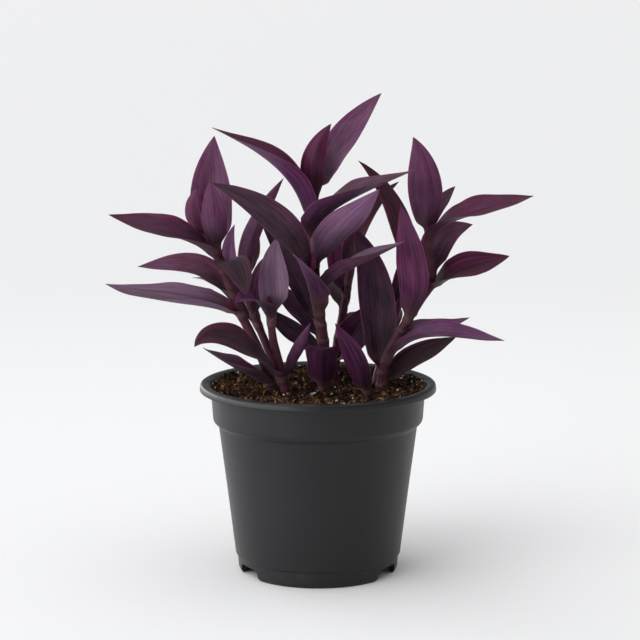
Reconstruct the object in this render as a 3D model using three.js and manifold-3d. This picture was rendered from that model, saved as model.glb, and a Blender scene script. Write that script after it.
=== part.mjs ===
// A purple-leaved tradescantia in a black nursery pot, 4 inches across its rim.
// Millimetres, +Z up. The origin is on the surface that the pot stands on, under its centre,
// and -Y is the plant's front.
import * as THREE from "three";
import { mergeVertices } from "three/addons/utils/BufferGeometryUtils.js";
import Module from "manifold-3d";

const wasm = await Module();
wasm.setup();

// Driving dimensions of the pot.
const RIM_RADIUS = 50.8;
const POT_HEIGHT = 82;
const WALL = 1.2;
const LIP_DROP = 3.3;
const LIP_WALL = 1.1;
const BAND_RADIUS = 46;
const LEDGE_HEIGHT = 64;
const FOOT_RADIUS = 34.6;
const FOOT_HEIGHT = 7.4;
const FLOOR_HEIGHT = 6.4;
const FLOOR_WALL = 1.6;
const LEDGE_RADIUS = 42.75;
const COLLAR_RADIUS = 45.15;
const MIDDLE_RADIUS = 39.2;
const MIDDLE_HEIGHT = 36;
const POT_SEGMENTS = 48;
const NOTCH_WIDTH = 15;
const NOTCH_HEIGHT = 4.8;
const HOLE_WIDTH = 11;
const HOLE_FROM = 25;
const HOLE_TO = 31;
const CORNER_ROUND = 1.6;
const NOTCH_ANGLES = [90, 210, 330].map(THREE.MathUtils.degToRad);

// Driving dimensions of the soil and of the plant.
const GAP = 0.3;
const SOIL_LEVEL = 78.6;
const SOIL_RADIUS = BAND_RADIUS - WALL - 0.7;
const SOIL_RINGS = 9;
const ROOT_DEPTH = 12;
const STEM_SIDES = 8;
const STEM_STEPS = 12;
const STEM_TOP_RADIUS = 1.3;
const LEAF_THICKNESS = 1.2;
const SHEATH_FOLD = 34;
const TIP_FOLD = 8;
const WIDEST = 0.44;
const OPEN_SHARE = 0.56;
const TAPER = 1.8;
const SHEATH_SHARE = 0.5;
const BUD_FOOT = [-2.6, -5.6, 130.5];
const BUD_TIP = [-2.2, -8.4, 139.5];
const BUD_RADIUS = 1.7;
const BUD_SWELL = [0.5, 0.85, 1, 0.95, 0.75, 0.45];
const SIDEWAYS = new THREE.Vector3(1, 0, 0);
const LEAF_STATIONS = [0, 0.07, 0.15, 0.24, 0.34, 0.45, 0.56, 0.67, 0.77, 0.86, 0.94];

// Plain finishes, as the real surfaces are.
const finish = (color, roughness) => new THREE.MeshStandardMaterial({ color, roughness, metalness: 0 });
const BLACK_PLASTIC = finish(0x26282a, 0.45);
const PEAT = finish(0x2c1d14, 0.95);
const STEM_PURPLE = finish(0x5a3038, 0.5);
const LEAF_PURPLE = finish(0x4a2648, 0.5);
const BUD_MAGENTA = finish(0x7a2a62, 0.5);

const group = new THREE.Group();

function add(name, geometry, material) {
  const mesh = new THREE.Mesh(geometry, material);
  mesh.name = name;
  group.add(mesh);
}

// Solids for cutting: a closed mesh becomes a manifold, and the result becomes a mesh again.
function solidOf(geometry) {
  const bare = geometry.index ? geometry.clone() : geometry;
  bare.deleteAttribute("normal");
  bare.deleteAttribute("uv");
  const merged = mergeVertices(bare, 1e-4);
  const vertProperties = new Float32Array(merged.attributes.position.array);
  const triVerts = new Uint32Array(merged.index.array);
  return new wasm.Manifold(new wasm.Mesh({ numProp: 3, vertProperties, triVerts }));
}

function geometryOf(solid) {
  const { vertProperties, triVerts } = solid.getMesh();
  const geometry = new THREE.BufferGeometry();
  geometry.setAttribute("position", new THREE.BufferAttribute(vertProperties, 3));
  geometry.setIndex(new THREE.BufferAttribute(triVerts, 1));
  return geometry;
}

// A body turned about +Z from a profile of [radius, height] points, which go round it clockwise.
function turned(profile, segments) {
  const points = profile.map(([radius, height]) => new THREE.Vector2(radius, height));
  const geometry = new THREE.LatheGeometry(points, segments);
  geometry.rotateX(Math.PI / 2);
  return geometry;
}

// A closed skin over a row of rings, flat across the first ring and drawn to a point past the last.
// Its diagonals run from even corners to odd ones, so that a thin twisted blade never cuts itself.
function loft(rings, point) {
  const sides = rings[0].length;
  const corners = [...rings.flat(), point];
  const faces = [];
  for (let i = 1; i < sides - 1; i++) faces.push(0, i + 1, i);
  for (let k = 0; k < rings.length; k++) {
    for (let i = 0; i < sides; i++) {
      const a = k * sides + i;
      const b = k * sides + ((i + 1) % sides);
      if (k === rings.length - 1) faces.push(a, b, corners.length - 1);
      else if (i % 2) faces.push(a, b, a + sides, b, b + sides, a + sides);
      else faces.push(a, b, b + sides, a, b + sides, a + sides);
    }
  }
  const geometry = new THREE.BufferGeometry();
  geometry.setFromPoints(corners);
  geometry.setIndex(faces);
  return geometry;
}

// The pot's wall as one closed outline: up the outside, over the rim and its lip, and down the inside.
function potProfile() {
  const inner = BAND_RADIUS - WALL;
  const lipInner = RIM_RADIUS - LIP_WALL;
  const lipFoot = POT_HEIGHT - LIP_DROP;
  const floorTop = FLOOR_HEIGHT + FLOOR_WALL;
  return [
    [0, FLOOR_HEIGHT],
    [FOOT_RADIUS - WALL - 0.4, FLOOR_HEIGHT],
    [FOOT_RADIUS - WALL - 0.8, 0.4],
    [FOOT_RADIUS - WALL - 0.5, 0],
    [FOOT_RADIUS - 0.7, 0],
    [FOOT_RADIUS - 0.1, 0.5],
    [FOOT_RADIUS + 0.3, FOOT_HEIGHT - 0.3],
    [FOOT_RADIUS + 1.1, FOOT_HEIGHT],
    [MIDDLE_RADIUS, MIDDLE_HEIGHT],
    [LEDGE_RADIUS, LEDGE_HEIGHT - 0.4],
    [LEDGE_RADIUS + 0.85, LEDGE_HEIGHT + 0.5],
    [COLLAR_RADIUS - 0.35, LEDGE_HEIGHT + 1.6],
    [COLLAR_RADIUS, LEDGE_HEIGHT + 2.6],
    [BAND_RADIUS, POT_HEIGHT - 2.9],
    [BAND_RADIUS + 0.5, POT_HEIGHT - 1.6],
    [lipInner - 0.6, POT_HEIGHT - 1.4],
    [lipInner, POT_HEIGHT - 1.9],
    [lipInner + 0.2, lipFoot + 0.2],
    [RIM_RADIUS - 0.4, lipFoot],
    [RIM_RADIUS, lipFoot + 0.3],
    [RIM_RADIUS - 0.2, POT_HEIGHT - 1],
    [RIM_RADIUS - 0.6, POT_HEIGHT - 0.3],
    [RIM_RADIUS - 1.4, POT_HEIGHT],
    [inner + 2.8, POT_HEIGHT],
    [inner + 1.2, POT_HEIGHT - 0.5],
    [inner + 0.3, POT_HEIGHT - 1.6],
    [inner, POT_HEIGHT - 3],
    [COLLAR_RADIUS - WALL, LEDGE_HEIGHT + 2.8],
    [COLLAR_RADIUS - WALL - 0.55, LEDGE_HEIGHT + 1.8],
    [LEDGE_RADIUS - WALL, LEDGE_HEIGHT],
    [MIDDLE_RADIUS - WALL, MIDDLE_HEIGHT],
    [FOOT_RADIUS + 0.2, floorTop + 0.8],
    [FOOT_RADIUS - 0.6, floorTop],
    [0, floorTop],
  ];
}

// A block with round corners that stands across a radius, from one radius to another.
function radialCutter(angle, width, bottom, top, from, to) {
  const half = width / 2;
  const round = CORNER_ROUND;
  const shape = new THREE.Shape();
  shape.moveTo(-half, bottom);
  shape.lineTo(half, bottom);
  shape.lineTo(half, top - round);
  shape.absarc(half - round, top - round, round, 0, Math.PI / 2);
  shape.absarc(round - half, top - round, round, Math.PI / 2, Math.PI);
  const options = { depth: to - from, bevelEnabled: false, curveSegments: 3 };
  const geometry = new THREE.ExtrudeGeometry(shape, options);
  geometry.rotateX(Math.PI / 2);
  geometry.translate(0, -from, 0);
  geometry.rotateZ(angle + Math.PI / 2);
  return solidOf(geometry);
}

function pot() {
  let solid = solidOf(turned(potProfile(), POT_SEGMENTS));
  for (const angle of NOTCH_ANGLES) {
    const notch = radialCutter(angle, NOTCH_WIDTH, -2, NOTCH_HEIGHT, FOOT_RADIUS - 3, FOOT_RADIUS + 4);
    const hole = radialCutter(angle, HOLE_WIDTH, FLOOR_HEIGHT - 1, FLOOR_HEIGHT + 6, HOLE_FROM, HOLE_TO);
    solid = solid.subtract(notch).subtract(hole);
  }
  add("pot", geometryOf(solid), BLACK_PLASTIC);
}

// Each shoot: the points that its stem passes through, from the soil up, and the radius at its foot.
// Each leaf: the height of its node on the stem, the length of its sheath, the point that the blade
// arches towards, its tip, its full width, and in degrees how far its upper face is turned from the
// sky to the front, and how far its halves fold up. The lowest leaf of a shoot comes first.
const SHOOTS = {
  left: {
    stem: [[-19, -4, 78], [-25, -5, 96], [-33, -6, 113], [-39, -5, 128], [-43, -4, 141], [-45, -3, 154]],
    radius: 2.5,
    leaves: [
      [80.5, 6, [-31, -17, 87.2], [-48, -26, 101.5], 15, 18, 38],
      [110.8, 12, [-54, -16, 114.3], [-90, -8, 125.6], 19.5, 18, 38],
      [119, 14, [-48, 4, 135], [-78, 12, 130.1], 12.8, 40, 20],
      [129.5, 8, [-34, -24, 139.5], [-29, -34, 124], 14, 10, 15],
      [133, 12, [-52, -14, 144.3], [-87, -18, 156], 19.5, 28, 28],
      [139.4, 9, [-42.8, -15.5, 152], [-45, -14, 170], 11.3, -80, 20],
      [144, 5, [-56, -6, 153], [-50.5, -5, 166], 10, -40, 20],
      [138, 8, [-48.6, 8.8, 158], [-44, 7, 187], 18.4, 80, 15],
    ],
  },
  front_left: {
    stem: [[-13.5, -10, 78], [-16.5, -12, 92], [-19, -13, 103], [-20, -13, 114], [-21, -12, 121]],
    radius: 2.4,
    leaves: [
      [84, 8, [-9.2, -20, 97], [-3, -26, 112], 6, -70, 30],
      [84, 13, [-43, -34, 116], [-50.5, -40, 104], 20.5, 35, 18],
      [108, 8, [-21, -8, 134], [-17, -14, 146], 14, 75, 25],
      [110, 6, [-26, -28, 126], [-34, -38, 122], 13, 30, 22],
    ],
  },
  back_left: {
    stem: [[-15, 4, 78], [-23.5, 6, 100], [-30, 8, 116], [-33, 9, 128]],
    radius: 2.2,
    leaves: [
      [104, 7, [-40, 24, 124], [-56, 36, 122], 13, 0, 22],
      [108.5, 7, [-21.3, 28, 132.5], [-16.5, 42, 134], 12, 0, 22],
      [113, 3, [-43.5, 6.5, 133], [-36.2, 22, 147.5], 7.6, 60, 20],
      [118, 9, [-36, 4, 138], [-14.4, 4, 169.5], 8.5, -50, 20],
      [124.5, 4, [-27.5, 25, 134.5], [-27, 22, 147], 7.4, 60, 20],
    ],
  },
  centre: {
    stem: [[3, 1, 78], [2.4, 0, 98], [0.1, 0, 115], [-1.5, 0, 134], [-2, 0, 147], [-1, 0, 168]],
    radius: 3,
    leaves: [
      [91, 6, [-4, 10, 94.7], [-24, 18, 112], 9.5, 60, 20],
      [99, 8, [-6, 12, 111.5], [-21.5, 15.5, 122.8], 10.5, 60, 20],
      [105.8, 6, [-13.5, 13, 136], [-25, 18, 149], 9.5, 60, 20],
      [110, 14, [-8, -28, 155.5], [-43, -38, 171], 21, 42, 34],
      [119, 9, [22, -16, 136], [35, -44, 148], 17, 20, 36],
      [131, 11, [8, -28, 149], [25, -42, 169], 16, -60, 22],
      [142, 12, [2.5, -19.5, 158.5], [40, -32, 176], 25, 14, 34],
      [148.3, 15, [-11.5, -8, 176], [-44.4, -10, 191.6], 24.5, 8, 37],
      [163, 5, [4, 7, 182], [27, 8, 205], 13, 60, 18],
      [158.3, 8, [-6, -7.3, 177], [5.6, -6.3, 193], 11.5, -50, 30],
    ],
  },
  back: {
    stem: [[6.5, 19, 78], [8.5, 19, 96], [11, 19, 110], [13, 18, 121], [14, 18, 132]],
    radius: 2.3,
    leaves: [
      [86, 4, [14, 4, 103], [26, 9, 115], 15, 70, 15],
      [109, 6, [6, 36, 124], [2, 50, 119], 13, 0, 22],
      [97, 7, [24, 34, 108], [28, 50, 102], 13, 0, 22],
      [115, 5, [8, 24, 140], [12, 30, 152], 13, 50, 20],
      [121, 5, [10.5, 22, 149], [35.4, 24, 166], 9, 60, 20],
    ],
  },
  right: {
    stem: [
      [27, -1, 78], [29, -2, 92], [35.4, -4, 105], [42.4, -4, 116], [48.2, -3, 127], [47.4, -1, 139], [46.4, 1, 150],
    ],
    radius: 2.5,
    leaves: [
      [80, 5, [40, 8, 91], [60, 12, 99.4], 14, 30, 20],
      [90, 13, [39, -12, 107.4], [77.6, -26, 104.2], 18, 15, 32],
      [85, 12, [28.8, 8, 127], [14.5, 10, 148.5], 16.5, 75, 18],
      [104.5, 6, [49, 11, 101], [65.8, 12, 108], 9, 30, 20],
      [108, 13, [41.5, -24, 127], [34, -25, 161], 14, -70, 22],
      [112, 8, [41, 14, 157], [17, 14, 176], 10.5, 60, 20],
      [121, 13, [55, -8, 129], [81, -6, 137.2], 19.3, 30, 22],
      [127, 8, [47, 10, 146], [67.3, 20, 147.6], 15, 40, 20],
      [139, 9, [48, -7.5, 151], [90, -14, 163.4], 19, 25, 26],
      [145.5, 9, [45.8, -3, 176], [40, 0, 187], 15.8, -70, 24],
      [146.5, 6, [51.5, 14, 157.5], [59.8, 24, 164], 7, 50, 20],
    ],
  },
  back_right: {
    stem: [[25, 14, 78], [31, 18, 98], [36, 20, 116]],
    radius: 2.1,
    leaves: [
      [90, 7, [42, 28, 104], [54, 40, 98], 13, 0, 22],
      [99, 6, [32, 32, 110], [30, 46, 104], 12, 0, 22],
      [107, 6, [41, 22, 128], [40, 22, 142], 10, 60, 20],
    ],
  },
  front_right: {
    stem: [[21, -16, 78], [20.5, -17, 84]],
    radius: 2.2,
    leaves: [
      [79, 6, [18, -28, 94], [7, -34, 113], 10, -70, 22],
    ],
  },
  front: {
    stem: [[2, -9, 78], [1.5, -10, 84]],
    radius: 2.2,
    leaves: [
      [80, 6, [1.8, -24, 103.8], [3.2, -38, 102.8], 18.8, 0, 45],
    ],
  },
};

// The point where a stem passes a height, and its direction there.
function stemAt(curve, height) {
  let low = 0;
  let high = 1;
  for (let i = 0; i < 30; i++) {
    const middle = (low + high) / 2;
    if (curve.getPoint(middle).z < height) low = middle;
    else high = middle;
  }
  return { point: curve.getPoint(low), along: curve.getTangent(low), share: low };
}

// A ring of points round a centre, in the plane of two directions.
function ring(centre, side, up, radius, count) {
  return Array.from({ length: count }, (_, i) => {
    const angle = (2 * Math.PI * i) / count;
    const point = centre.clone().addScaledVector(side, radius * Math.cos(angle));
    return point.addScaledVector(up, radius * Math.sin(angle));
  });
}

// A stem tapers from its root in the soil to the growing point.
function stemGeometry(curve, radius, grow) {
  const rings = [];
  for (let i = 0; i < STEM_STEPS; i++) {
    const t = i / STEM_STEPS;
    const along = curve.getTangent(t);
    const side = SIDEWAYS.clone().cross(along).cross(along).negate().normalize();
    const up = along.clone().cross(side);
    const reach = THREE.MathUtils.lerp(radius, STEM_TOP_RADIUS, t) + grow;
    rings.push(ring(curve.getPoint(t), side, up, reach, STEM_SIDES));
  }
  return loft(rings, curve.getPoint(1));
}

// The share of its full width that a leaf has at a share of its length.
function fullness(u) {
  if (u > WIDEST) return 1 - ((u - WIDEST) / (1 - WIDEST)) ** TAPER;
  return THREE.MathUtils.lerp(SHEATH_SHARE, 1, Math.sin(((u / WIDEST) * Math.PI) / 2));
}

// A direction made square to another one.
function across(direction, tangent) {
  return direction.addScaledVector(tangent, -direction.dot(tangent)).normalize();
}

// The turn about an axis from one direction to another, both square to the axis.
function turnBetween(from, to, axis) {
  return Math.atan2(from.clone().cross(to).dot(axis), from.dot(to));
}

// A leaf climbs beside its stem as a sheath, arches over and ends in a point. Each ring across it has
// the left margin, the middle of the upper face, the right margin and the middle of the lower face.
function leafGeometry(stem, radius, [node, sheath, over, tip, width, roll, fold]) {
  const { point, along, share } = stemAt(stem, node);
  const bend = new THREE.Vector3(...over);
  const end = new THREE.Vector3(...tip);
  const outward = across(bend.clone().sub(point), along);
  outward.add(across(end.clone().sub(point), along)).normalize();
  const stemRadius = THREE.MathUtils.lerp(radius, STEM_TOP_RADIUS, share);
  const base = point.clone().addScaledVector(outward, stemRadius + GAP + LEAF_THICKNESS / 2);
  const climb = base.clone().addScaledVector(along, sheath).addScaledVector(outward, sheath * 0.25);
  const curve = new THREE.CubicBezierCurve3(base, climb, bend, end);
  const sky = new THREE.Vector3(0, 0, 1).applyAxisAngle(SIDEWAYS, THREE.MathUtils.degToRad(roll));
  const carried = outward.clone().negate();
  const held = LEAF_STATIONS.map((u) => across(carried, curve.getTangentAt(u)).clone());
  const opened = held[LEAF_STATIONS.indexOf(OPEN_SHARE)];
  const axis = curve.getTangentAt(OPEN_SHARE);
  const twist = turnBetween(opened, across(sky, axis), axis);
  const rings = LEAF_STATIONS.map((u, i) => {
    const tangent = curve.getTangentAt(u);
    const turn = twist * THREE.MathUtils.smoothstep(u, 0, OPEN_SHARE);
    const face = held[i].clone().applyAxisAngle(tangent, turn);
    const side = face.clone().cross(tangent);
    const blade = THREE.MathUtils.lerp(fold, TIP_FOLD, THREE.MathUtils.smoothstep(u, 0.3, 1));
    const degrees = THREE.MathUtils.lerp(SHEATH_FOLD, blade, THREE.MathUtils.smoothstep(u, 0, 0.3));
    const lift = THREE.MathUtils.degToRad(degrees);
    const half = (width / 2) * fullness(u);
    const thick = (LEAF_THICKNESS / 2) * (1 - 0.7 * u);
    const middle = curve.getPointAt(u);
    const raised = middle.clone().addScaledVector(face, half * Math.sin(lift));
    return [
      raised.clone().addScaledVector(side, half * Math.cos(lift)),
      middle.clone().addScaledVector(face, thick),
      raised.clone().addScaledVector(side, -half * Math.cos(lift)),
      middle.clone().addScaledVector(face, -thick),
    ];
  });
  return loft(rings, curve.getPoint(1));
}

// The bud in the middle of the centre shoot swells from a narrow foot and ends in a point.
function budGeometry() {
  const foot = new THREE.Vector3(...BUD_FOOT);
  const tip = new THREE.Vector3(...BUD_TIP);
  const along = tip.clone().sub(foot).normalize();
  const side = SIDEWAYS.clone().cross(along).cross(along).negate().normalize();
  const up = along.clone().cross(side);
  const rings = BUD_SWELL.map((swell, i) =>
    ring(foot.clone().lerp(tip, i / BUD_SWELL.length), side, up, BUD_RADIUS * swell, STEM_SIDES));
  return loft(rings, tip);
}

// The soil fills the pot to a bumpy top. Each stem's root stands in a socket of its own.
function soilGeometry() {
  const floor = FLOOR_HEIGHT + FLOOR_WALL + GAP;
  const profile = [
    [0, floor],
    [FOOT_RADIUS - 1.1, floor],
    [MIDDLE_RADIUS - WALL - GAP, MIDDLE_HEIGHT],
    [LEDGE_RADIUS - WALL - GAP, LEDGE_HEIGHT],
    [COLLAR_RADIUS - WALL - GAP - 0.4, LEDGE_HEIGHT + 2],
    [SOIL_RADIUS, SOIL_LEVEL - 1],
  ];
  for (let i = SOIL_RINGS; i > 0; i--) {
    profile.push([(SOIL_RADIUS * (i - 0.15)) / SOIL_RINGS, SOIL_LEVEL]);
  }
  profile.push([0, SOIL_LEVEL]);
  const geometry = turned(profile, POT_SEGMENTS);
  const place = geometry.attributes.position;
  for (let i = 0; i < place.count; i++) {
    const [x, y, z] = [place.getX(i), place.getY(i), place.getZ(i)];
    const bump = 0.7 * Math.sin(0.31 * x + 0.4 * y) + 0.6 * Math.cos(0.43 * y - 0.2 * x + 1);
    if (z > SOIL_LEVEL - 0.5) place.setZ(i, z + bump);
  }
  return geometry;
}

function shoots() {
  const roots = [];
  for (const [shoot, { stem, radius, leaves }] of Object.entries(SHOOTS)) {
    const points = stem.map((place) => new THREE.Vector3(...place));
    points.unshift(points[0].clone().setZ(SOIL_LEVEL - ROOT_DEPTH));
    const curve = new THREE.CatmullRomCurve3(points);
    add(`${shoot}_stem`, stemGeometry(curve, radius, 0), STEM_PURPLE);
    roots.push(solidOf(stemGeometry(curve, radius, GAP)));
    leaves.forEach((leaf, i) => {
      add(`${shoot}_leaf_${i + 1}`, leafGeometry(curve, radius, leaf), LEAF_PURPLE);
    });
  }
  return roots;
}

function pottingMix(roots) {
  let solid = solidOf(soilGeometry());
  for (const root of roots) solid = solid.subtract(root);
  add("potting_mix", geometryOf(solid), PEAT);
}

pot();
pottingMix(shoots());
add("centre_bud", budGeometry(), BUD_MAGENTA);

export default group;
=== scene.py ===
from math import radians

import bpy
import numpy as np
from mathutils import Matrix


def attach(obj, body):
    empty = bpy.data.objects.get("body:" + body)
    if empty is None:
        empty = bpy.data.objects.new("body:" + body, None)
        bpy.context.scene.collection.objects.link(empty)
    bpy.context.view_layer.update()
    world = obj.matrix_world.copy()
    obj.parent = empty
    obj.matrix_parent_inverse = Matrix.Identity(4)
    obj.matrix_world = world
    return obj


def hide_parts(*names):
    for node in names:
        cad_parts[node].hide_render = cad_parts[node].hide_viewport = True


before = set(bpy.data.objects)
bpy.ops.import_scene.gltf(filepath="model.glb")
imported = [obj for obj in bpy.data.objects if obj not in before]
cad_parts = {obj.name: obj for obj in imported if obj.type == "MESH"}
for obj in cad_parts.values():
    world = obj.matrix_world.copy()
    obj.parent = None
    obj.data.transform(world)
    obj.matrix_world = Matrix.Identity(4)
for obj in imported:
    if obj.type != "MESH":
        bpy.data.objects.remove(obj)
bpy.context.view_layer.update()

# ---------------------------------------------------------------- the pot
# A 4 inch nursery pot, moulded in one piece from black polypropylene: a rolled rim, a band with a
# ledge under it, a tapered wall, and a foot ring with drainage notches round a raised floor.
MM = 0.001
POT_OUTLINE = [
    (0, 6.4), (33.0, 6.4), (32.6, 0.4), (32.9, 0), (33.6, 0), (34.5, 1.6), (34.9, 7.1), (35.7, 7.4),
    (39.2, 36), (42.75, 63.6), (43.6, 64.5), (44.8, 65.6), (45.15, 66.6), (46, 79.1), (46.5, 80.4),
    (49.1, 80.6), (49.7, 80.1), (49.9, 78.9), (50.4, 78.7), (50.8, 79), (50.6, 81), (50.2, 81.7),
    (49.4, 82), (48.4, 82), (47.5, 81.7), (45.6, 80.6), (44.8, 79), (43.95, 66.8), (43.4, 65.8),
    (41.55, 64), (38, 36), (34.8, 8.8), (34, 8), (0, 8),
]
CORNER_ROUND = 0.7
POT_SEGMENTS = 192
CREASE_ANGLE = 38
# Three notches and three floor holes: width, bottom, top, near and far radius, corner round and flare.
NOTCH_DEGREES = (90, 210, 330)
NOTCH = (14.4, -2, 4.8, 31.6, 38.6, 2.6, 1.7)
HOLE = (11, 5.4, 12.4, 25, 31, 1.6, 0.1)
PLASTIC = [(0.003, 0.003, 0.0042), (0.0055, 0.0055, 0.007)]
PAINTED_CROWN_HIGHLIGHT = (0.06, 0.06, 0.062)
PEAT_DUST = (0.09, 0.075, 0.06)


def rounded(outline, radius, steps=5):
    """The outline with its corners drawn round. Each is a quadratic curve that starts and ends the
    radius away from the corner, or 0.45 of its side where that is shorter."""
    corner = outline[1:-1]

    def cut(side):
        length = np.linalg.norm(side, axis=1, keepdims=True)
        return side / length * np.minimum(radius, 0.45 * length)

    start, end = corner + cut(outline[:-2] - corner), corner + cut(outline[2:] - corner)
    t = np.linspace(0, 1, steps)[:, None, None]
    curve = (1 - t) ** 2 * start + 2 * t * (1 - t) * corner + t**2 * end
    return np.vstack([outline[:1], curve.transpose(1, 0, 2).reshape(-1, 2), outline[-1:]])


def sleeve(rows, columns, first=0):
    """Four-cornered faces between each row of points and the next, closed round the columns."""
    row = first + np.arange(rows - 1)[:, None] * columns
    column = np.arange(columns)
    after = (column + 1) % columns
    corners = [row + column, row + after, row + columns + after, row + columns + column]
    return np.stack(corners, -1).reshape(-1, 4)


def fan(point, ring):
    """Three-cornered faces from one point to each side of a closed ring of points."""
    return np.stack([np.full(len(ring), point), ring, np.roll(ring, -1)], -1)


def make_piece(name, points, faces, sharp=None):
    """A mesh from points in millimetres and arrays of faces. The faces are turned to point outwards,
    which is where the volume under them, the sum of p0 . (p1 x p2) / 6, is positive."""
    points = np.asarray(points, float)
    halves = [np.vstack([f[:, [0, 1, 2]], f[:, [0, 2, 3]]]) if f.shape[1] == 4 else f for f in faces]
    a, b, c = points[np.vstack(halves)].transpose(1, 0, 2)
    turn = slice(None) if np.einsum("ij,ij->i", a, np.cross(b, c)).sum() > 0 else slice(None, None, -1)
    mesh = bpy.data.meshes.new(name)
    mesh.from_pydata((points * MM).tolist(), [], [face for f in faces for face in f[:, turn].tolist()])
    mesh.polygons.foreach_set("use_smooth", np.ones(len(mesh.polygons), bool))
    if sharp:
        mesh.set_sharp_from_angle(angle=radians(sharp))
    piece = bpy.data.objects.new(name, mesh)
    bpy.context.scene.collection.objects.link(piece)
    return piece


def place_piece(piece, paint, slot, *nodes):
    """The piece takes its material, rides on the pot's body and stands for its CAD nodes."""
    piece.data.materials.append(paint.material)
    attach(piece, "root")
    if nodes:
        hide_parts(*nodes)


def turned(outline, segments):
    """The points (r cos a, r sin a, z) of an outline of (r, z) that starts and ends on the axis."""
    angle = np.linspace(0, 2 * np.pi, segments, endpoint=False)
    radius, height = outline[1:-1].T[..., None]
    rings = np.stack([radius * np.cos(angle), radius * np.sin(angle), height + 0 * angle], -1)
    points = np.vstack([[(0, 0, outline[0, 1])], rings.reshape(-1, 3), [(0, 0, outline[-1, 1])]])
    last = len(points) - 1
    ring = np.arange(segments)
    ends = [fan(0, 1 + ring)[:, ::-1], fan(last, last - segments + ring)]
    return points, [sleeve(len(outline) - 2, segments, 1), *ends]


def slabs(width, bottom, top, near, far, corner, flare):
    """A block that stands across a radius at each notch angle. Its outline has round upper corners
    and a foot that flares out in a quarter circle, and is carried from the near radius to the far one."""
    bend = np.linspace(0, np.pi / 2, 8)
    right_x = np.concatenate([flare * (1 - np.sin(bend)), corner * (np.cos(bend) - 1)]) + width / 2
    right_z = np.concatenate([bottom + 2 + flare * (1 - np.cos(bend)), top - corner * (1 - np.sin(bend))])
    x = np.concatenate([[-right_x[0], right_x[0]], right_x, -right_x[::-1]])
    z = np.concatenate([[bottom, bottom], right_z, right_z[::-1]])
    count = len(x)
    angle = np.radians(NOTCH_DEGREES)[:, None, None]
    radius = np.array([near, far])[:, None]
    at = [radius * np.cos(angle) - x * np.sin(angle), radius * np.sin(angle) + x * np.cos(angle)]
    points = np.stack([*at, z + 0 * at[0]], -1).reshape(-1, 3)
    starts = 2 * count * np.arange(len(NOTCH_DEGREES))
    sides = np.vstack([sleeve(2, count, s) for s in starts])
    near_caps = np.vstack([fan(s, s + np.arange(1, count))[:-1] for s in starts])
    far_caps = np.vstack([fan(s, s + np.arange(1, count))[:-1, ::-1] for s in starts + count])
    return points, [sides, near_caps[:, ::-1], far_caps[:, ::-1]]


class Number:
    """A number that a material works out. Python's operators on it add Math nodes, with other
    Numbers or plain numbers on either side."""

    def __init__(self, paint, socket):
        self.paint = paint
        self.socket = socket

    def math(self, operation, *values):
        return self.paint.add("ShaderNodeMath", {"operation": operation}, values)

    def __add__(self, other):
        return self.math("ADD", self, other)

    def __sub__(self, other):
        return self.math("SUBTRACT", self, other)

    def __rsub__(self, other):
        return self.math("SUBTRACT", other, self)

    def __mul__(self, other):
        return self.math("MULTIPLY", self, other)

    def __abs__(self):
        return self.math("ABSOLUTE", self)

    def step(self, low, high):
        """0 up to low and 1 from high, on a smooth slope between them."""
        smooth = {"interpolation_type": "SMOOTHSTEP"}
        return self.paint.add("ShaderNodeMapRange", smooth, (self, low, high, 0, 1))

    __radd__ = __add__
    __rmul__ = __mul__


class Nodes:
    """A tree of shader nodes that grows by one call for each node."""

    def __init__(self, tree):
        self.tree = tree

    def set(self, node, values):
        for key, value in values.items():
            if isinstance(value, Number):
                self.tree.links.new(value.socket, node.inputs[key])
            elif isinstance(value, tuple) and node.inputs[key].type == "RGBA":
                node.inputs[key].default_value = (*value, 1)
            else:
                node.inputs[key].default_value = value

    def add(self, kind, settings=(), values=(), output=0):
        """A node of that kind: its settings first, then its sockets' values or links, by place or name."""
        node = self.tree.nodes.new(kind)
        for key, value in dict(settings).items():
            setattr(node, key, value)
        self.set(node, values if isinstance(values, dict) else dict(enumerate(values)))
        return Number(self, node.outputs[output])


class Paint(Nodes):
    """One material, from its surface shader back. Constants are set on the shader's own sockets."""

    def __init__(self, name, **constants):
        self.material = bpy.data.materials.new(name)
        self.material.use_nodes = True
        super().__init__(self.material.node_tree)
        self.tree.nodes.clear()
        self.shader = self.tree.nodes.new("ShaderNodeBsdfPrincipled")
        output = self.tree.nodes.new("ShaderNodeOutputMaterial")
        self.tree.links.new(self.shader.outputs[0], output.inputs[0])
        self.set(self.shader, {key.replace("_", " "): value for key, value in constants.items()})
        self.place = self.add("ShaderNodeTexCoord", output="Object")

    def noise(self, scale, detail=3, vector=None, stretch=(1, 1, 1), rough=0.5):
        """Noise from 0 to 1, scale times finer than a metre, or than the unit of the vector given."""
        where = self.add("ShaderNodeMapping", {}, {"Vector": vector or self.place, "Scale": stretch})
        sockets = {"Vector": where, "Scale": scale, "Detail": detail, "Roughness": rough}
        return self.add("ShaderNodeTexNoise", {}, sockets)

    def blend(self, share, below, above, mode="MIX"):
        """One colour over another, by a share from 0 to 1."""
        settings = {"data_type": "RGBA", "blend_type": mode, "clamp_factor": True}
        return self.add("ShaderNodeMix", settings, {0: share, 6: below, 7: above}, output=2)

    def attribute(self, name, output="Fac"):
        return self.add("ShaderNodeAttribute", {"attribute_name": name}, output=output)

    def finish(self, color, roughness, height, depth):
        """Links the colour and roughness, and a bump of that depth in metres."""
        bump = self.add("ShaderNodeBump", {}, {"Strength": 1.0, "Distance": depth, "Height": height})
        self.set(self.shader, {"Base Color": color, "Roughness": roughness, "Normal": bump})


def height_above(paint):
    """The height above the surface that the pot stands on, in millimetres."""
    return paint.add("ShaderNodeSeparateXYZ", {}, (paint.place,), output=2) * 1000


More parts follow.
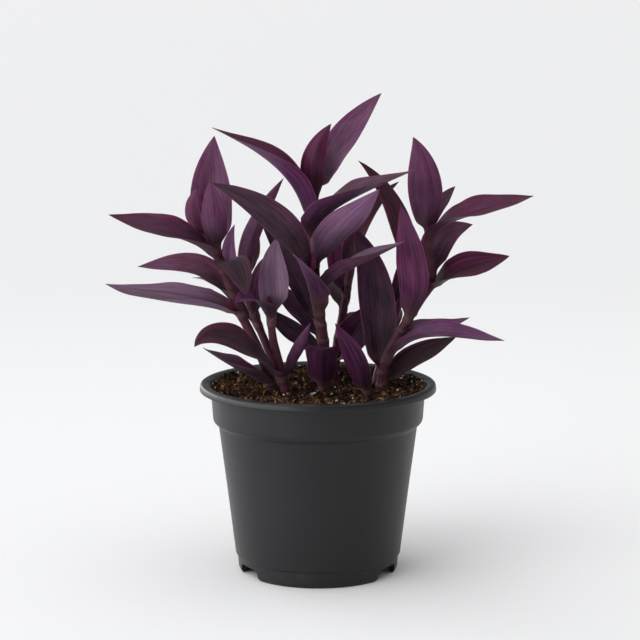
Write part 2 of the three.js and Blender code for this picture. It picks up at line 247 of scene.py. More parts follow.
def pot_paint():
    """Satin charcoal plastic. Broad clouds and fine grain change its gloss, faint streaks run down
    the wall, dry peat dust lies at the foot, and the rim's crown has a painted highlight in paler patches."""
    paint = Paint("pot_black_plastic", Specular_IOR_Level=0.36)
    cloud = paint.noise(45, 3)
    grain = paint.noise(1400, 2)
    streak = paint.noise(160, 3, stretch=(1, 1, 0.06))
    height = height_above(paint)
    dust = (1 - height.step(1, 16)) * paint.noise(240, 5, rough=0.7).step(0.5, 0.72) * 0.4
    # Painted highlight: the rim's crown is painted paler in patches, where it catches the light.
    crown_highlight = height.step(81.2, 82) * paint.noise(120, 4).step(0.35, 0.7)
    color = paint.blend(cloud, *PLASTIC)
    color = paint.blend(crown_highlight * 0.5, color, PAINTED_CROWN_HIGHLIGHT)
    color = paint.blend(dust * 0.35, color, PEAT_DUST)
    rough = 0.43 + (cloud - 0.5) * 0.12 + (streak - 0.5) * 0.12 + (grain - 0.5) * 0.06 + dust * 0.2
    paint.finish(color, rough, grain * 0.5 + streak * 0.6 + cloud * 1.5, 0.00003)
    return paint


pot_outline = rounded(np.array(POT_OUTLINE, float), CORNER_ROUND)
pot = make_piece("pot_shell", *turned(pot_outline, POT_SEGMENTS))
cutters = [make_piece("cutter", *slabs(*size)) for size in (NOTCH, HOLE)]
for cutter in cutters:
    cut = pot.modifiers.new("cut", "BOOLEAN")
    cut.operation, cut.solver, cut.object = "DIFFERENCE", "MANIFOLD", cutter
pot.modifiers.new("weld", "WELD").merge_threshold = MM / 1000
bpy.context.view_layer.update()
pot.data = bpy.data.meshes.new_from_object(pot.evaluated_get(bpy.context.evaluated_depsgraph_get()))
pot.modifiers.clear()
for cutter in cutters:
    bpy.data.objects.remove(cutter)
pot.data.materials.clear()
pot.data.polygons.foreach_set("material_index", np.zeros(len(pot.data.polygons), int))
pot.data.polygons.foreach_set("use_smooth", np.ones(len(pot.data.polygons), bool))
pot.data.set_sharp_from_angle(angle=radians(CREASE_ANGLE))
place_piece(pot, pot_paint(), "pot", "pot")

# ---------------------------------------------------------------- the potting mix
# Moist peat that fills the pot to just under its rim. Its body is one lumpy mass, and crumbs of bark
# and peat, orange-brown fibres and white perlite lie on it.
SOIL_LEVEL = 78.6
SOIL_SIDE = [
    (0, 8.3), (33.5, 8.3), (37.7, 36), (41.25, 64), (43.25, 66), (44.4, 77.6), (44.75, 78.5),
    (46.7, 81.15),
]
SOIL_SEGMENTS, SOIL_RINGS = 300, 100
BANK_FROM, BANK_TO, BANK = 37, 46.8, 2.7
LUMPS = [(0.42, 9), (0.3, 3.4), (0.16, 1.3)]
HOLLOW_SHADE = (0.006, 0.004, 0.003)
PALE_FLECK = (0.17, 0.085, 0.04)
PEAT = [(0.016, 0.008, 0.005), (0.05, 0.023, 0.011)]


def waves(x, y, length, seed, count=24):
    """Rough ground about a wave's length across: many plane waves sin(k . p + phase) in random
    directions, added and divided by the root of their number."""
    draw = np.random.default_rng(seed)
    angle = draw.uniform(0, 2 * np.pi, count)
    pitch = 2 * np.pi / (length * draw.uniform(0.6, 1.6, count))
    phase = draw.uniform(0, 2 * np.pi, count)
    along = x[..., None] * np.cos(angle) + y[..., None] * np.sin(angle)
    return np.sin(along * pitch + phase).sum(-1) / np.sqrt(count)


def soil_height(x, y):
    """The height of the mix: its level, two broad swells as in the CAD, three sizes of lumps, each a
    height times waves of a length, and the bank of crumbs that lies against the rim."""
    swell = 0.7 * np.sin(0.31 * x + 0.4 * y) + 0.6 * np.cos(0.43 * y - 0.2 * x + 1)
    lumps = sum(rise * waves(x, y, length, 1 + i) for i, (rise, length) in enumerate(LUMPS))
    bank = np.clip((np.hypot(x, y) - BANK_FROM) / (BANK_TO - BANK_FROM), 0, 1) ** 2
    return SOIL_LEVEL + swell * (1 - bank) + lumps * (1 - 0.6 * bank) + BANK * bank


def soil_paint(name, tint, roughness=0.9):
    """Damp peat: a tint broken up by painted shade in the hollows of its bump, and paler dry flecks."""
    paint = Paint(name, Specular_IOR_Level=0.12)
    lump = paint.noise(260, 6, rough=0.7)
    fleck = paint.noise(1500, 4, rough=0.7)
    color = tint(paint)
    # Painted shade: dark where the lump noise, and so the bump, is low.
    color = paint.blend(lump.step(0.56, 0.3) * 0.75, color, HOLLOW_SHADE)
    color = paint.blend(fleck.step(0.6, 0.78) * 0.5, color, PALE_FLECK)
    paint.finish(color, roughness - fleck * 0.25, lump * 2 + fleck, 0.0006)
    return paint


crown = np.linspace(BANK_TO, 0, SOIL_RINGS)
soil_outline = np.array(SOIL_SIDE + [(r, SOIL_LEVEL) for r in crown])
points, faces = turned(soil_outline, SOIL_SEGMENTS)
top = points[:, 2] == SOIL_LEVEL
points[top, 2] = soil_height(*points[top, :2].T)
soil = make_piece("potting_mix_body", points, faces)
peat = soil_paint("peat_mass", lambda paint: paint.blend(paint.noise(420, 5), *PEAT))
place_piece(soil, peat, "peat", "potting_mix")

# The crumbs, fibres and perlite lie loose on the mix, and none of them lies where a stem stands.
CRUMB_TINTS = [
    (0.008, 0.004, 0.003), (0.014, 0.007, 0.004), (0.04, 0.018, 0.009), (0.09, 0.04, 0.018),
    (0.26, 0.13, 0.06),
]
FIBRE_TINTS = [(0.12, 0.05, 0.022), (0.26, 0.13, 0.06), (0.4, 0.24, 0.13), (0.05, 0.022, 0.012)]
PERLITE_TINTS = [(0.55, 0.5, 0.44), (0.85, 0.83, 0.8)]
STEM_FEET = [(-19, -4), (-13.5, -10), (-15, 4), (3, 1), (6.5, 19), (27, -1), (25, 14), (21, -16), (2, -9)]
CLEAR_OF_STEM = 3.4
SCATTER_RADIUS = 46.6


def scattered(count, size, seed):
    """Random places on the mix, evenly over its area: the radius is the widest one times the root of
    an even draw. Twice the number needed is drawn, and the places by a stem are left out."""
    draw = np.random.default_rng(seed)
    angle = draw.uniform(0, 2 * np.pi, 2 * count)
    radius = (SCATTER_RADIUS - 0.7 * size) * np.sqrt(draw.uniform(0, 1, 2 * count))
    spot = np.stack([radius * np.cos(angle), radius * np.sin(angle)], -1)
    gap = np.linalg.norm(spot[:, None] - np.array(STEM_FEET), axis=-1).min(-1)
    spot = spot[gap > CLEAR_OF_STEM + size][:count]
    return np.column_stack([spot, soil_height(*spot.T)]), draw


def random_turns(count, draw, flat):
    """Rotation matrices from random quaternions. Their tilt is scaled by flat, and 0 keeps them level."""
    q = draw.normal(size=(count, 4)) * (1, flat, flat, 1)
    w, x, y, z = (q / np.linalg.norm(q, axis=1, keepdims=True)).T
    rows = [1 - 2 * (y * y + z * z), 2 * (x * y - z * w), 2 * (x * z + y * w)]
    rows += [2 * (x * y + z * w), 1 - 2 * (x * x + z * z), 2 * (y * z - x * w)]
    rows += [2 * (x * z - y * w), 2 * (y * z + x * w), 1 - 2 * (x * x + y * y)]
    return np.stack(rows, -1).reshape(-1, 3, 3)


def scatter_piece(name, shape, faces, count, reach, flat, tints, seed, rise=0.35):
    """Many copies of one small shape as one mesh. Each point is the shape's own, jittered, scaled by
    random lengths along three axes, turned, and moved to its place on the mix."""
    place, draw = scattered(count, max(reach[1]) * 0.6, seed)
    count = len(place)
    size = draw.uniform(*reach, (count, 3))[:, None]
    jitter = 1 + 0.22 * draw.normal(size=(count, len(shape), 1)).clip(-1.5, 1.5)
    local = shape * jitter * size / 2
    points = np.einsum("nij,nkj->nki", random_turns(count, draw, flat), local)
    lift = -points[..., 2].min(-1) * rise
    points += (place + np.stack([0 * lift, 0 * lift, lift], -1))[:, None]
    copies = [(f + len(shape) * np.arange(count)[:, None, None]).reshape(-1, f.shape[1]) for f in faces]
    piece = make_piece(name, points.reshape(-1, 3), copies, sharp=50)
    tint = np.array(tints)[draw.integers(0, len(tints), count)] * draw.uniform(0.7, 1.3, (count, 1))
    colors = np.ones((count, len(shape), 4))
    colors[..., :3] = tint[:, None]
    piece.data.attributes.new("tint", "FLOAT_COLOR", "POINT").data.foreach_set("color", colors.ravel())
    place_piece(piece, soil_paint(name, lambda paint: paint.attribute("tint", "Color"), 0.85), "peat")


# A crumb is a regular solid with twenty faces, and a fibre is a bow with three sides.
golden = (1 + 5**0.5) / 2
crumb = [(a, b * golden, 0) for a in (-1, 1) for b in (-1, 1)]
crumb = np.array(crumb + [(0, x, y) for x, y, _ in crumb] + [(y, 0, x) for x, y, _ in crumb]) / golden
gaps = np.linalg.norm(crumb[:, None] - crumb, axis=-1)
near = (gaps > 0) & (gaps < 1.5)
triples = np.argwhere(near[:, :, None] & near[:, None] & near[None])
triples = triples[(triples[:, 0] < triples[:, 1]) & (triples[:, 1] < triples[:, 2])]
a, b, c = crumb[triples].transpose(1, 0, 2)
inward = np.einsum("ij,ij->i", a, np.cross(b, c)) < 0
triples[inward] = triples[inward][:, ::-1]
bow = np.linspace(-1, 1, 7)[:, None]
spoke = np.radians([90, 210, 330])
fibre = [bow, 0.35 * bow**2 + 0.05 * np.cos(spoke), 0.05 * np.sin(spoke)]
fibre = np.stack(np.broadcast_arrays(*fibre), -1).reshape(-1, 3)
fibre_faces = [sleeve(7, 3), np.array([[2, 1, 0], [18, 19, 20]])]
BARK_SIZES = [0.7, 0.5, 0.3], [3.4, 1.8, 1.1]
PEAT_SIZES = [0.3, 0.25, 0.2], [1.3, 0.9, 0.7]
FIBRE_SIZES = [2, 2, 2], [6.5, 4, 5]
PERLITE_SIZES = [0.4, 0.4, 0.4], [1.7, 1.3, 1.1]
scatter_piece("bark_crumbs", crumb, [triples], 2100, BARK_SIZES, 0.6, CRUMB_TINTS, 11)
scatter_piece("peat_crumbs", crumb, [triples], 4200, PEAT_SIZES, 1, CRUMB_TINTS, 12)
scatter_piece("peat_fibres", fibre, fibre_faces, 620, FIBRE_SIZES, 0.16, FIBRE_TINTS, 13, 0.8)
scatter_piece("perlite_grains", crumb, [triples], 100, PERLITE_SIZES, 1, PERLITE_TINTS, 14, 0.8)

# ---------------------------------------------------------------- the stems
# Each shoot has one fleshy stem, purple-brown and a little glossy, that grows from the mix and swells
# at each node, where a leaf's sheath holds it.
STEM_ROWS, STEM_SEGMENTS = 150, 24
NODE_SWELL, NODE_LENGTH = 0.07, 0.9
STEM_TINTS = [(0.062, 0.016, 0.033), (0.085, 0.032, 0.038)]
STEM_LINE = (0.13, 0.06, 0.085)
NODE_RING = (0.035, 0.012, 0.016)


def welded(node):
    """A CAD node's points in millimetres, each once, and how many edges apart each two of them are."""
    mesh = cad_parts[node].data
    place = np.empty(len(mesh.vertices) * 3)
    mesh.vertices.foreach_get("co", place)
    corners = np.empty(len(mesh.loops), int)
    mesh.loops.foreach_get("vertex_index", corners)
    points, once = np.unique(np.round(place.reshape(-1, 3) / MM, 3), axis=0, return_inverse=True)
    faces = once.ravel()[corners].reshape(-1, 3)
    joined = np.eye(len(points), dtype=bool)
    joined[faces, np.roll(faces, 1, axis=1)] = joined[np.roll(faces, 1, axis=1), faces] = True
    apart = np.full(joined.shape, len(points))
    reached = np.eye(len(points), dtype=bool)
    for steps in range(len(points)):
        apart[reached & (apart == len(points))] = steps
        grown = (reached.astype(np.float32) @ joined) > 0
        if (grown == reached).all():
            break
        reached = grown
    return points, apart


def cad_rings(node, sides):
    """The rings of a CAD loft, from its foot up, and its pointed end. The end is a point from which
    every ring lies one more edge away, with as many points as the loft has sides, and of such points
    it is the one that gives the tightest rings. Every other corner of a ring has three edges to the
    next ring, or one to the ring before, and those come first."""
    points, apart = welded(node)
    steps = np.arange(1, (len(points) - 1) // sides + 1)
    ends = np.flatnonzero(((apart[:, :, None] == steps).sum(1) == sides).all(1))
    orders = [np.argsort(-apart[end], kind="stable")[:-1].reshape(-1, sides) for end in ends]
    best = np.argmin([np.var(points[order], axis=1).sum() for order in orders])
    tip, order = ends[best], orders[best]
    edges = apart[order[:-1, :, None], order[1:, None]] == 1
    even = np.vstack([edges.sum(2) == 3, edges[-1:].sum(1) == 1])
    order = np.take_along_axis(order, np.argsort(~even, axis=1, kind="stable"), axis=1)
    return points[order], points[tip]


def smooth_rows(rows, at):
    """The smooth curve through rows of values, read at fractions of a row: p1 + t (p2 - p0) / 2 and
    so on, which is the Catmull-Rom cubic between each row and the next."""
    rows = np.concatenate([2 * rows[:1] - rows[1:2], rows, 2 * rows[-1:] - rows[-2:-1]])
    k = np.clip(np.floor(at).astype(int), 0, len(rows) - 4)
    t = (at - k).reshape(-1, *[1] * (rows.ndim - 1))
    p0, p1, p2, p3 = rows[k], rows[k + 1], rows[k + 2], rows[k + 3]
    curve = 2 * p1 + (p2 - p0) * t + (2 * p0 - 5 * p1 + 4 * p2 - p3) * t**2
    return (curve + (3 * p1 - p0 - 3 * p2 + p3) * t**3) / 2


def unit(vectors):
    return vectors / np.maximum(np.linalg.norm(vectors, axis=-1, keepdims=True), 1e-9)


def fade(x, low, high):
    """0 below low, 1 above high, and a smooth slope 3t^2 - 2t^3 between them."""
    t = np.clip((x - low) / (high - low), 0, 1)
    return t * t * (3 - 2 * t)


def set_attribute(piece, name, kind, values):
    field = {"FLOAT": "value", "FLOAT_VECTOR": "vector"}[kind]
    attribute = piece.data.attributes.new(name, kind, "POINT")
    attribute.data.foreach_set(field, np.ascontiguousarray(values).ravel())


def tube(centres, sides, ups, radii, columns):
    """Rings centre + radius (cos a side + sin a up) along a path, closed by a point at each end."""
    angle = np.linspace(0, 2 * np.pi, columns, endpoint=False)[:, None]
    spokes = np.cos(angle) * sides[:, None] + np.sin(angle) * ups[:, None]
    rings = centres[:, None] + spokes * radii[:, None, None]
    points = np.vstack([centres[:1], rings.reshape(-1, 3), centres[-1:]])
    last = len(points) - 1
    ring = np.arange(columns)
    ends = [fan(0, 1 + ring)[:, ::-1], fan(last, last - columns + ring)]
    return points, [sleeve(len(centres), columns, 1), *ends]


def skin_paint(name, **constants):
    return Paint(name, Specular_IOR_Level=0.08, Sheen_Weight=0.015, Sheen_Roughness=0.4, **constants)


def stem_paint():
    """Smooth stem skin: purple-brown in clouds, with fine paler lines along it and dark node rings."""
    paint = skin_paint("stem_skin")
    run = paint.attribute("run", "Vector")
    node = paint.attribute("node")
    line = paint.noise(1, 3, run, (0.08, 2.2, 1))
    cloud = paint.noise(130, 3)
    color = paint.blend(cloud.step(0.35, 0.7), *STEM_TINTS)
    color = paint.blend(line.step(0.5, 0.8) * 0.5, color, STEM_LINE)
    color = paint.blend(node * 0.22, color, NODE_RING)
    paint.finish(color, 0.42 + (line - 0.5) * 0.2, line * 0.6 + cloud, 0.00012)
    return paint


stem_skin = stem_paint()
stem_axes = {}
leaf_nodes = sorted(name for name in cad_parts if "_leaf_" in name)
for node in sorted(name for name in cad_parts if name.endswith("_stem")):
    shoot = node.removesuffix("_stem")
    rings, tip = cad_rings(node, 8)
    middles = np.vstack([rings.mean(1), tip])
    at = np.linspace(0, len(middles) - 1, STEM_ROWS)
    centres = smooth_rows(middles, at)
    radii = np.linalg.norm(rings - rings.mean(1, keepdims=True), axis=-1).mean(1)
    radii = smooth_rows(np.append(radii, radii[-1]), at)
    radii *= np.sqrt(np.clip((len(middles) - 1 - at) / 0.7, 0.02, 1))
    stem_axes[shoot] = centres, radii
    feet = [cad_rings(leaf, 4)[0][0].mean(0) for leaf in leaf_nodes if leaf.rsplit("_leaf_")[0] == shoot]
    gap = np.abs(centres[:, 2:] - np.array(feet)[:, 2]).min(-1)
    swell = np.exp(-((gap / NODE_LENGTH) ** 2))
    along = unit(np.gradient(centres, axis=0))
    sides = unit(np.cross((0.0, 1.0, 0.0), along))
    swollen = radii * (1 + NODE_SWELL * swell)
    points, faces = tube(centres, sides, np.cross(along, sides), swollen, STEM_SEGMENTS)
    stem = make_piece(f"{shoot}_stem_skin", points, faces)
    length = np.append(0, np.linalg.norm(np.diff(centres, axis=0), axis=1).cumsum())
    round_it = np.linspace(0, 2 * np.pi, STEM_SEGMENTS, endpoint=False)
    run = np.broadcast_arrays(length[:, None], 3 * np.cos(round_it), 3 * np.sin(round_it))
    run = np.stack(run, -1)
    run = np.vstack([run[:1, 0], run.reshape(-1, 3), run[-1:, 0]])
    set_attribute(stem, "run", "FLOAT_VECTOR", run)
    set_attribute(stem, "node", "FLOAT", np.concatenate([[0], np.repeat(swell, STEM_SEGMENTS), [0]]))
    place_piece(stem, stem_skin, "stem", node)

# ---------------------------------------------------------------- the leaves
# Each leaf is one thin fleshy blade, folded along its middle, on a sheath that wraps its stem. Both
# faces are purple under a pale waxy bloom: the upper one duller and darker, the lower one brighter.
ROWS = 64
HALF_LOOP = 18
CREASE = 0.2
RIPPLE = 0.22
THIN, FLESHY = 0.16, 0.42
# The foot of a blade: the share of its widest half that it keeps, and where along it that fades out;
# how far it faces the way that its middle faces, where that fades out, and the most that a margin
# moves for it.
FOOT_WIDTH, FOOT_FADE = 0.86, (0.42, 0.52)
FACING, FACING_FADE, MOST_MOVED = 0.8, (0.2, 0.5), 2.5
# The sheath: the length that holds its stem, the clearance at which the blade is free, the half wrap
# at its mouth and what is added at its foot, in degrees, and its gaps to the stem and between layers.
HELD_LENGTH, HELD_ELSEWHERE = {"front": 6, "front_right": 6}, 13
FREED_AT = 3.6
OPEN_WRAP, CLOSED_WRAP = 58, 118
SHEATH_GAP, LAYER_GAP, NESTED_GAP, LIP_GAP = 0.14, 0.16, 0.14, 0.25
BLOOM = (0.2, 0.12, 0.188)
MARGIN_HIGHLIGHT = (0.2, 0.05, 0.1)
SHEATH = [(0.11, 0.06, 0.045), (0.09, 0.025, 0.05)]
TINTS = {
    "olive": (0.039, 0.022, 0.024),
    "black": (0.013, 0.0045, 0.009),
    "brown": (0.042, 0.014, 0.015),
    "wine": (0.064, 0.010, 0.027),
    "red": (0.074, 0.007, 0.030),
    "dusk": (0.044, 0.009, 0.032),
    "plum": (0.080, 0.013, 0.049),
    "violet": (0.076, 0.013, 0.067),
    "magenta": (0.102, 0.013, 0.082),
    "lilac": (0.158, 0.066, 0.146),
    "grey": (0.150, 0.101, 0.142),
}
# For each leaf: the tint of its upper face, the tint of its lower face, and how heavy its bloom is.
LEAF_LOOKS = {
    "left": [
        ("grey", "olive", 0.4), ("grey", "violet", 0.8), ("wine", "plum", 0.35), ("olive", "black", 0.1),
        ("wine", "brown", 0.3), ("plum", "plum", 0.5), ("brown", "red", 0.3), ("plum", "violet", 0.6),
    ],
    "front_left": [
        ("plum", "violet", 0.4), ("brown", "black", 0.25), ("grey", "lilac", 0.85),
        ("magenta", "black", 0.35),
    ],
    "back_left": [
        ("olive", "plum", 0.3), ("plum", "plum", 0.2), ("lilac", "red", 0.4), ("olive", "plum", 0.75),
        ("brown", "red", 0.15),
    ],
    "centre": [
        ("black", "plum", 0.05), ("black", "plum", 0.08), ("black", "plum", 0.15),
        ("olive", "violet", 0.3), ("violet", "wine", 0.45), ("plum", "lilac", 0.8),
        ("brown", "violet", 0.3), ("wine", "violet", 0.08), ("plum", "plum", 0.6), ("red", "red", 0.2),
    ],
    "back": [
        ("black", "black", 0), ("black", "plum", 0.2), ("black", "plum", 0.2), ("plum", "plum", 0.1),
        ("brown", "plum", 0.12),
    ],
    "right": [
        ("olive", "violet", 0.05), ("violet", "plum", 0.6), ("black", "plum", 0.2),
        ("lilac", "violet", 0.6), ("plum", "plum", 0.2), ("brown", "plum", 0.1),
        ("wine", "wine", 0.05), ("wine", "violet", 0.35), ("wine", "plum", 0.15),
        ("plum", "plum", 0.35), ("brown", "plum", 0.25),
    ],
    "back_right": [("olive", "plum", 0.2), ("black", "plum", 0.2), ("black", "plum", 0.1)],
    "front_right": [("violet", "dusk", 0.05)],
    "front": [("plum", "dusk", 0.02)],
}


def leaf_ribs(node):
    """From a CAD leaf's rings: the middle of each cut across it, half the way from one margin to the
    other, and the way from the middle to the middle between the margins, which is the fold."""
    rings, tip = cad_rings(node, 4)
    middle = rings[:, 2:].mean(1)
    spread = (rings[:, 0] - rings[:, 1]) / 2
    fold = rings[:, :2].mean(1) - middle
    turned_over = np.sign(np.einsum("ij,ij->i", spread[1:], spread[:-1]))
    spread *= np.cumprod(np.append(1, turned_over))[:, None]
    tangent = unit(np.gradient(np.vstack([middle, tip]), axis=0)[:-1])
    spread *= np.sign(np.sum(fold * np.cross(tangent, spread)))
    none = np.zeros((1, 3))
    return np.vstack([middle, tip]), np.vstack([spread, none]), np.vstack([fold, none])


def leaf_surface(node, axis, radii, nested, hold, seed):
    """The leaf as a closed lens across, wrapped round its stem at the foot. At share u of its length
    and v from one margin (-1) to the other (1), a blade point is middle + v spread + g(v) fold, where
    g is a soft crease. Near its foot the blade is widened to a share of its widest half, and turned a
    little to face as its middle does. At the sheath it goes over to a point on a circle round the
    stem, and the turn of the circle is v times a wrap that opens from nearly the whole way round."""
    middle, spread, fold = leaf_ribs(node)
    u = np.linspace(0, 1, ROWS) ** 0.9
    at = u * (len(middle) - 1)
    middle, spread, fold = smooth_rows(middle, at), smooth_rows(spread, at), smooth_rows(fold, at)
    length = np.append(0, np.linalg.norm(np.diff(middle, axis=0), axis=1).cumsum())
    half = np.linalg.norm(spread, axis=1)
    share = length / length[-1]
    foot = fade(length, 0.2 * hold, hold + 1) * (1 - fade(share, *FOOT_FADE))
    wider = np.maximum(1, FOOT_WIDTH * half.max() * foot / np.maximum(half, 1e-6))[:, None]
    tangent = unit(np.gradient(middle, axis=0))
    steady = spread[np.argmin(np.abs(share - 0.5))]
    steady = unit(steady - (tangent @ steady)[:, None] * tangent)
    moved = half * np.linalg.norm(steady - unit(spread), axis=1)
    limit = np.minimum(1, MOST_MOVED / np.maximum(moved, 0.1))
    turned_in = (FACING * (1 - fade(share, *FACING_FADE)) * limit)[:, None]
    facing = unit((1 - turned_in) * unit(spread) + turned_in * steady)
    spread = half[:, None] * wider * facing
    fold = np.linalg.norm(fold, axis=1, keepdims=True) * wider * unit(np.cross(tangent, facing))
    loop = np.linspace(0, 2 * np.pi, 2 * HALF_LOOP, endpoint=False)
    v, rise = np.cos(loop), np.sin(loop)
    draw = np.random.default_rng(seed)
    crease = (np.sqrt(v**2 + CREASE**2) - CREASE) / (np.sqrt(1 + CREASE**2) - CREASE)
    blade = middle[:, None] + v[:, None] * spread[:, None] + crease[:, None] * fold[:, None]
    normal = unit(np.cross(tangent, spread + 1e-6))
    normal[-1] = normal[-2]
    ripple = np.sin(u[:, None] * draw.uniform(14, 24) + draw.uniform(0, 6, 2)[(v > 0).astype(int)])
    ripple = RIPPLE * ripple * np.abs(v) ** 3 * (fade(u, 0.15, 0.4) * (1 - u) ** 0.5)[:, None]
    blade += ripple[..., None] * normal[:, None]
    nearest = np.linalg.norm(middle[:, None] - axis, axis=-1).argmin(1)
    core, core_radius = axis[nearest], radii[nearest]
    climb = unit(np.gradient(axis, axis=0))[nearest]
    away = middle - core - np.einsum("ij,ij->i", middle - core, climb)[:, None] * climb
    outward = unit(away)
    across = np.cross(outward, climb)
    clearance = np.linalg.norm(away, axis=1) - core_radius
    held = np.minimum.accumulate(1 - fade(np.maximum(clearance / FREED_AT, length / hold), 0.3, 1))
    leaving = np.argmin(np.abs(held - 0.5))
    across *= np.sign(across[leaving] @ spread[leaving])
    wrap = np.radians(OPEN_WRAP + CLOSED_WRAP * (1 - fade(length, 1.5, 8)))
    layers = (LAYER_GAP + NESTED_GAP * min(nested, 3)) * fade(length, 0, 2)
    reach = core_radius + SHEATH_GAP + layers + LIP_GAP * fade(length, 5, 10)
    turn = v * wrap[:, None]
    round_stem = np.cos(turn)[..., None] * outward[:, None] + np.sin(turn)[..., None] * across[:, None]
    sheath = core[:, None] + reach[:, None, None] * round_stem
    held = held[:, None, None]
    surface = held * sheath + (1 - held) * blade
    upward = unit((1 - held) * normal[:, None] - held * round_stem)
    thick = THIN + FLESHY * fade(u, 0.02, 0.25) * (1 - u) ** 0.6
    surface = surface + upward * (rise * (0.35 + 0.65 * np.abs(rise)) * thick[:, None] / 2)[..., None]
    width = np.linalg.norm(spread, axis=1)
    return surface, u, v, rise, width, length, middle[-1]


def leaf_piece(node, axis, radii, nested, hold, seed):
    """The leaf's mesh, closed by a flat cap at its foot and a fan at its tip. Its points keep where they
    lie: the share along, the share across, the face (upper 1, lower -1) and millimetres both ways."""
    surface, u, v, rise, width, length, tip = leaf_surface(node, axis, radii, nested, hold, seed)
    loop = len(v)
    points = np.vstack([surface[:-1].reshape(-1, 3), tip])
    ring = np.arange(loop)
    low, high = ring[1 : loop // 2], ring[: loop // 2 : -1]
    cap = np.stack([low[:-1], high[:-1], high[1:], low[1:]], -1)
    ends = np.array([[0, high[0], low[0]], [loop // 2, low[-1], high[-1]]])
    closing = fan(len(points) - 1, len(points) - 1 - loop + ring)
    piece = make_piece(f"{node}_blade", points, [sleeve(ROWS - 1, loop), cap, ends, closing])

    run = [length[:, None], v * width.max(), seed + 3 * np.sign(rise)]
    values = np.broadcast_arrays(u[:, None], v, rise, *run)
    values = np.stack(values, -1)[:-1].reshape(-1, 6)
    values = np.vstack([values, values[-loop]])
    for column, name in enumerate(("along", "across", "upper")):
        set_attribute(piece, name, "FLOAT", values[:, column])
    set_attribute(piece, "run", "FLOAT_VECTOR", values[:, 3:])
    return piece


def leaf_paint(name, upper, lower, bloom):
    """Leaf skin: the two faces' tints, fine parallel veins with painted highlights on their ridges and
    painted shade between them, a waxy bloom in clouds, a painted highlight as a reddish line along the
    margins, painted shade that darkens it towards the foot, and a paler, browner sheath with purple veins."""
    glow = {"Subsurface_Weight": 0.08, "Subsurface_Scale": 0.0012, "Subsurface_Radius": (0.9, 0.25, 0.6)}
    paint = skin_paint(name, **glow)
    along, across, top = (paint.attribute(key) for key in ("along", "across", "upper"))
    run = paint.attribute("run", "Vector")
    vein = paint.noise(1, 3, run, (0.035, 1.6, 1), 0.6)
    fine = paint.noise(1, 2, run, (0.12, 5.5, 1))
    cloud = paint.noise(1, 3, run, (0.07, 0.16, 1))
    wax = paint.noise(1, 5, run, (0.16, 0.9, 1), 0.65)
    upper_face = top.step(-0.12, 0.12)
    rim = abs(across).step(0.93, 0.995)
    middle_line = 1 - abs(across).step(0.0, 0.07)
    color = paint.blend(upper_face, TINTS[lower], TINTS[upper])
    color = paint.blend(cloud.step(0.35, 0.75) * 0.35, color, TINTS["violet"])
    streak = paint.noise(1, 4, run, (0.03, 0.7, 1)).step(0.3, 0.7)
    color = paint.blend(1, color, 0.5 + 0.95 * streak, "MULTIPLY")
    # Painted shade: the blade is darker towards its foot, in among the other leaves by the stem.
    color = paint.blend(1, color, 0.42 + 0.63 * along.step(0.12, 0.5), "MULTIPLY")
    # The veins: paler on the ridges of their bump, a painted highlight, and darker in the grooves between
    # them, painted shade.
    color = paint.blend(vein.step(0.48, 0.8) * 0.35, color, TINTS["lilac"])
    color = paint.blend(vein.step(0.52, 0.25) * 0.6, color, TINTS["black"])
    color = paint.blend(middle_line * upper_face * 0.5, color, TINTS["olive"])
    frost = (cloud * 0.6 + wax * 0.55 + fine * 0.15).step(0.35, 0.95) * bloom
    color = paint.blend(frost, color, BLOOM)
    # Painted highlight: a thin reddish line along the margins, where the edges catch the light.
    color = paint.blend(rim * 0.55, color, MARGIN_HIGHLIGHT)
    sheath = (1 - along.step(0.06, 0.24)) * 0.75
    color = paint.blend(sheath, color, paint.blend(vein.step(0.4, 0.65), *SHEATH))
    color = paint.blend(along.step(0.9, 1) * 0.5, color, TINTS["wine"])
    rough = 0.44 + frost * 0.25 + (fine - 0.5) * 0.14
    paint.finish(color, rough, vein * 1.2 + fine * 0.5 + wax * 0.3, 0.00014)
    return paint


leaf_skins = {}
seed = 100
for shoot, looks in LEAF_LOOKS.items():
    axis, radii = stem_axes[shoot]
    hold = HELD_LENGTH.get(shoot, HELD_ELSEWHERE)
    names = [f"{shoot}_leaf_{i + 1}" for i in range(len(looks))]
    spans = np.array([cad_rings(name, 4)[0][[0, 3]].mean(1)[:, 2] for name in names])
    for k, (name, look) in enumerate(zip(names, looks)):
        inside = int(((spans[k + 1 :, 0] < spans[k, 1] - 1) & (spans[k + 1 :, 0] > spans[k, 0] - 2)).sum())
        if look not in leaf_skins:
            upper, lower, bloom = look
            leaf_skins[look] = leaf_paint(f"leaf_{upper}_{lower}_{100 * bloom:.0f}", *look)
        blade = leaf_piece(name, axis, radii, inside, hold, seed + k)
        place_piece(blade, leaf_skins[look], "leaf", name)
    seed += 20

# ---------------------------------------------------------------- the bud
# One small pointed bud sits in the middle of the centre shoot, magenta and smooth, with the seams of
# its three outer leaves.
BUD_ROWS, BUD_SEGMENTS = 40, 36
SEAM_DEPTH = 0.1
BUD_TINTS = [(0.16, 0.02, 0.085), (0.2, 0.045, 0.12)]
rings, tip = cad_rings("centre_bud", 8)
middles = np.vstack([rings.mean(1), tip])
at = np.linspace(0, len(middles) - 1, BUD_ROWS)
radii = np.append(np.linalg.norm(rings - rings.mean(1, keepdims=True), axis=-1).mean(1), 0)
radii = np.maximum(smooth_rows(radii, at), 0.02)
centres = smooth_rows(middles, at)
along = unit(np.gradient(centres, axis=0))
sides = unit(np.cross((0.0, 1.0, 0.0), along))
points, faces = tube(centres, sides, np.cross(along, sides), radii, BUD_SEGMENTS)
round_it = np.linspace(0, 2 * np.pi, BUD_SEGMENTS, endpoint=False)
seams = np.concatenate([[0], np.tile(np.cos(3 * round_it), BUD_ROWS), [0]])
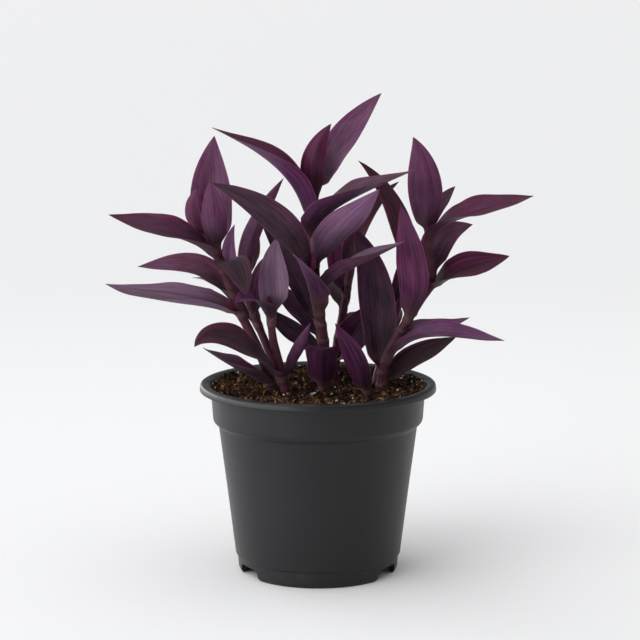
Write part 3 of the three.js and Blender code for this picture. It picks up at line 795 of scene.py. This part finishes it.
core = np.vstack([middles[0], np.repeat(centres, BUD_SEGMENTS, axis=0), tip])
points = core + (points - core) * (1 - SEAM_DEPTH * fade(seams, 0.6, 1))[:, None]
bud = make_piece("centre_bud_scales", points, faces)
set_attribute(bud, "seam", "FLOAT", seams)
glow = {"Subsurface_Weight": 0.1, "Subsurface_Scale": 0.001, "Subsurface_Radius": (1.0, 0.2, 0.5)}
bud_skin = skin_paint("bud_skin", **glow)
seam = bud_skin.attribute("seam").step(0.6, 1)
cloud = bud_skin.noise(500, 3)
color = bud_skin.blend(cloud, *BUD_TINTS)
color = bud_skin.blend(seam * 0.7, color, TINTS["black"])
bud_skin.finish(color, 0.4 + (cloud - 0.5) * 0.2, cloud, 0.0001)
place_piece(bud, bud_skin, "bud", "centre_bud")

# ---------------------------------------------------------------- floor, light and camera
# A plain pale floor that runs out of sight, painted paler near the pot: a painted pool of light
# against the shade round its foot. The room has dim walls, a bright ceiling, and a wide soft light
# low on the left, with a soft key light from the upper left.
FLOOR_REACH = 200000
FLOOR_NEAR_PAINTED_LIGHT, FLOOR_FAR = (0.96, 0.96, 0.962), (0.87, 0.87, 0.872)
WALLS, HORIZON, CEILING, WINDOW = 0.2, 0.5, 0.78, (0.7, 6.2)
ROOM_COLOR = (0.985, 0.99, 1.0)
KEY_STRENGTH, KEY_SPREAD, KEY_TURN = 0.46, radians(40), (radians(42), 0, radians(-48))
LENS_LENGTH, CAMERA_PLACE, CAMERA_TILT = 113.3, (0.00086, -0.85, 0.2457), radians(80.85)
corners = [(-1, -1, 0), (1, -1, 0), (1, 1, 0), (-1, 1, 0)]
floor = make_piece("floor", FLOOR_REACH * np.array(corners), [np.array([[0, 1, 2, 3]])])
floor_paint = Paint("studio_floor", Roughness=0.8, Specular_IOR_Level=0.2)
reach = floor_paint.add("ShaderNodeVectorMath", {"operation": "LENGTH"}, (floor_paint.place,), output=1)
# Painted light: the floor is paler near the pot than far off.
color = floor_paint.blend(reach.step(0.1, 1), FLOOR_NEAR_PAINTED_LIGHT, FLOOR_FAR)
floor_paint.set(floor_paint.shader, {"Base Color": color})
floor.data.materials.append(floor_paint.material)

world = bpy.data.worlds.new("studio")
world.use_nodes = True
room = Nodes(world.node_tree)
toward = room.add("ShaderNodeTexCoord", output="Generated")
right = room.add("ShaderNodeSeparateXYZ", {}, (toward,), output=0)
height = room.add("ShaderNodeSeparateXYZ", {}, (toward,), output=2)
window = WINDOW[0] * height.step(0.75, 0.45) + WINDOW[1] * height.step(0.4, 0.1)
window = right.step(-0.25, -0.5) * window
strength = WALLS + HORIZON * height.step(0.26, 0.08) + CEILING * height.step(0.3, 1) + window
room.set(world.node_tree.nodes["Background"], {"Strength": strength, "Color": ROOM_COLOR})
bpy.context.scene.world = world
bpy.context.scene.view_settings.view_transform = "Standard"

key = bpy.data.lights.new("key", "SUN")
key.energy, key.angle = KEY_STRENGTH, KEY_SPREAD
key_holder = bpy.data.objects.new("key", key)
key_holder.rotation_euler = KEY_TURN
bpy.context.scene.collection.objects.link(key_holder)

lens = bpy.data.cameras.new("camera")
lens.lens, lens.sensor_width = LENS_LENGTH, 36
lens.clip_end = 500
camera = bpy.data.objects.new("camera", lens)
camera.location = CAMERA_PLACE
camera.rotation_euler = (CAMERA_TILT, 0, 0)
bpy.context.scene.collection.objects.link(camera)
bpy.context.scene.camera = camera
